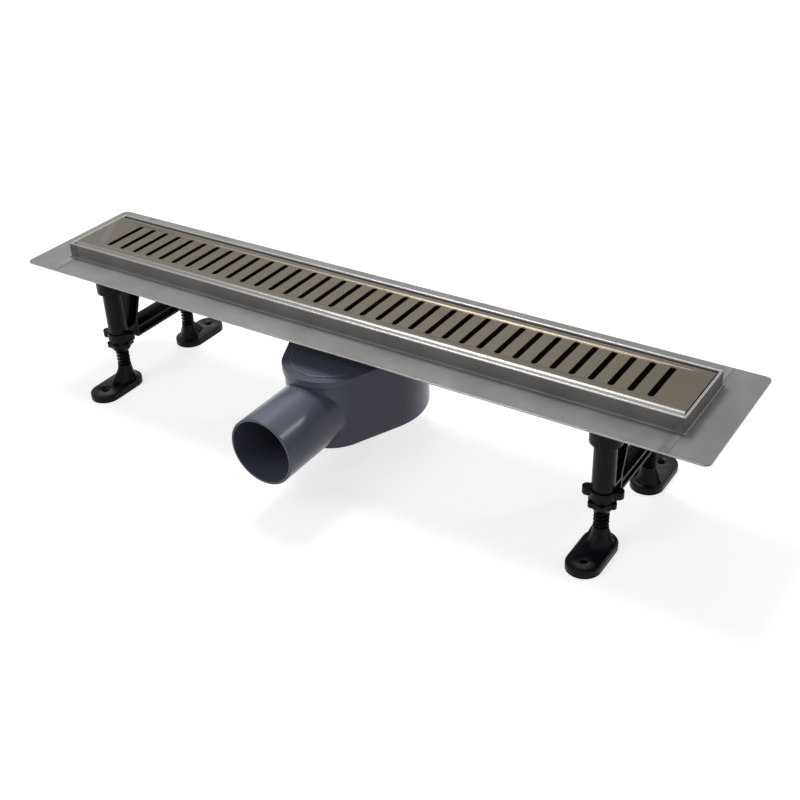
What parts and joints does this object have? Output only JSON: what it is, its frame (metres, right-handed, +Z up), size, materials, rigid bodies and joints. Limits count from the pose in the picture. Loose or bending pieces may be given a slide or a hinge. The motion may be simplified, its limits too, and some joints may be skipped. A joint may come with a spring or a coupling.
{
  "type": "channel drain",
  "caption": "Linear shower drain: folded steel channel with a slotted grate, a swivelling odour trap with a side outlet, and screw feet on two leg cradles.",
  "frame": {"origin": "on the floor plane, centre of the rectangle of the four fixing holes in the feet", "axes": "+X along the channel, -Y to the outlet pipe, +Z up"},
  "size_m": [0.56, 0.1957, 0.1105],
  "materials": {
    "stainless_steel": "satin stainless sheet",
    "grate_steel": "brushed stainless sheet, warm",
    "grey_plastic": "satin moulded",
    "black_plastic": "moulded",
    "rubber": "soft lip seal"
  },
  "bodies": {
    "channel": {"channel_profile": "stainless_steel", "channel_end_left": "stainless_steel", "channel_end_right": "stainless_steel", "grate": "grate_steel", "drain_spigot": "stainless_steel", "odour_insert": "grey_plastic", "insert_ring": "rubber", "hair_sieve": "stainless_steel", "fixing_studs": "stainless_steel", "leg_cradle_left": "black_plastic", "leg_cradle_right": "black_plastic"},
    "trap": {"trap_body": "grey_plastic", "trap_cover": "grey_plastic", "spigot_seal": "rubber"},
    "adjusting_nut_front_left": {"adjusting_nut_front_left": "black_plastic"},
    "lock_nut_front_left": {"lock_nut_front_left": "black_plastic"},
    "screw_foot_front_left": {"screw_foot_front_left": "black_plastic"},
    "adjusting_nut_back_left": {"adjusting_nut_back_left": "black_plastic"},
    "lock_nut_back_left": {"lock_nut_back_left": "black_plastic"},
    "screw_foot_back_left": {"screw_foot_back_left": "black_plastic"},
    "adjusting_nut_front_right": {"adjusting_nut_front_right": "black_plastic"},
    "lock_nut_front_right": {"lock_nut_front_right": "black_plastic"},
    "screw_foot_front_right": {"screw_foot_front_right": "black_plastic"},
    "adjusting_nut_back_right": {"adjusting_nut_back_right": "black_plastic"},
    "lock_nut_back_right": {"lock_nut_back_right": "black_plastic"},
    "screw_foot_back_right": {"screw_foot_back_right": "black_plastic"}
  },
  "joints": [
    {"name": "trap_swivel", "type": "hinge", "parent": "channel", "child": "trap", "pos_m": [0, 0, 0.069], "axis": [0, 0, 1], "continuous": true},
    {"name": "height_front_left", "type": "hinge", "parent": "channel", "child": "adjusting_nut_front_left", "pos_m": [-0.209, -0.0387, 0.044], "axis": [0, 0, 1], "range_deg": [-1440, 2160]},
    {"name": "lock_turn_front_left", "type": "hinge", "parent": "channel", "child": "lock_nut_front_left", "pos_m": [-0.209, -0.0387, 0.037], "axis": [0, 0, 1], "range_deg": [-1440, 2160]},
    {"name": "foot_slide_front_left", "type": "slide", "parent": "channel", "child": "screw_foot_front_left", "axis": [0, 0, -1], "range_m": [-0.012, 0.018]},
    {"name": "height_back_left", "type": "hinge", "parent": "channel", "child": "adjusting_nut_back_left", "pos_m": [-0.209, 0.0387, 0.044], "axis": [0, 0, 1], "range_deg": [-1440, 2160]},
    {"name": "lock_turn_back_left", "type": "hinge", "parent": "channel", "child": "lock_nut_back_left", "pos_m": [-0.209, 0.0387, 0.037], "axis": [0, 0, 1], "range_deg": [-1440, 2160]},
    {"name": "foot_slide_back_left", "type": "slide", "parent": "channel", "child": "screw_foot_back_left", "axis": [0, 0, -1], "range_m": [-0.012, 0.018]},
    {"name": "height_front_right", "type": "hinge", "parent": "channel", "child": "adjusting_nut_front_right", "pos_m": [0.209, -0.0387, 0.044], "axis": [0, 0, 1], "range_deg": [-1440, 2160]},
    {"name": "lock_turn_front_right", "type": "hinge", "parent": "channel", "child": "lock_nut_front_right", "pos_m": [0.209, -0.0387, 0.037], "axis": [0, 0, 1], "range_deg": [-1440, 2160]},
    {"name": "foot_slide_front_right", "type": "slide", "parent": "channel", "child": "screw_foot_front_right", "axis": [0, 0, -1], "range_m": [-0.012, 0.018]},
    {"name": "height_back_right", "type": "hinge", "parent": "channel", "child": "adjusting_nut_back_right", "pos_m": [0.209, 0.0387, 0.044], "axis": [0, 0, 1], "range_deg": [-1440, 2160]},
    {"name": "lock_turn_back_right", "type": "hinge", "parent": "channel", "child": "lock_nut_back_right", "pos_m": [0.209, 0.0387, 0.037], "axis": [0, 0, 1], "range_deg": [-1440, 2160]},
    {"name": "foot_slide_back_right", "type": "slide", "parent": "channel", "child": "screw_foot_back_right", "axis": [0, 0, -1], "range_m": [-0.012, 0.018]}
  ],
  "couplings": [
    {"joint": "lock_turn_front_left", "follows": "height_front_left", "ratio": 1},
    {"joint": "foot_slide_front_left", "follows": "height_front_left", "m_per_rad": 0.00047746},
    {"joint": "lock_turn_back_left", "follows": "height_back_left", "ratio": 1},
    {"joint": "foot_slide_back_left", "follows": "height_back_left", "m_per_rad": 0.00047746},
    {"joint": "lock_turn_front_right", "follows": "height_front_right", "ratio": 1},
    {"joint": "foot_slide_front_right", "follows": "height_front_right", "m_per_rad": 0.00047746},
    {"joint": "lock_turn_back_right", "follows": "height_back_right", "ratio": 1},
    {"joint": "foot_slide_back_right", "follows": "height_back_right", "m_per_rad": 0.00047746}
  ]
}
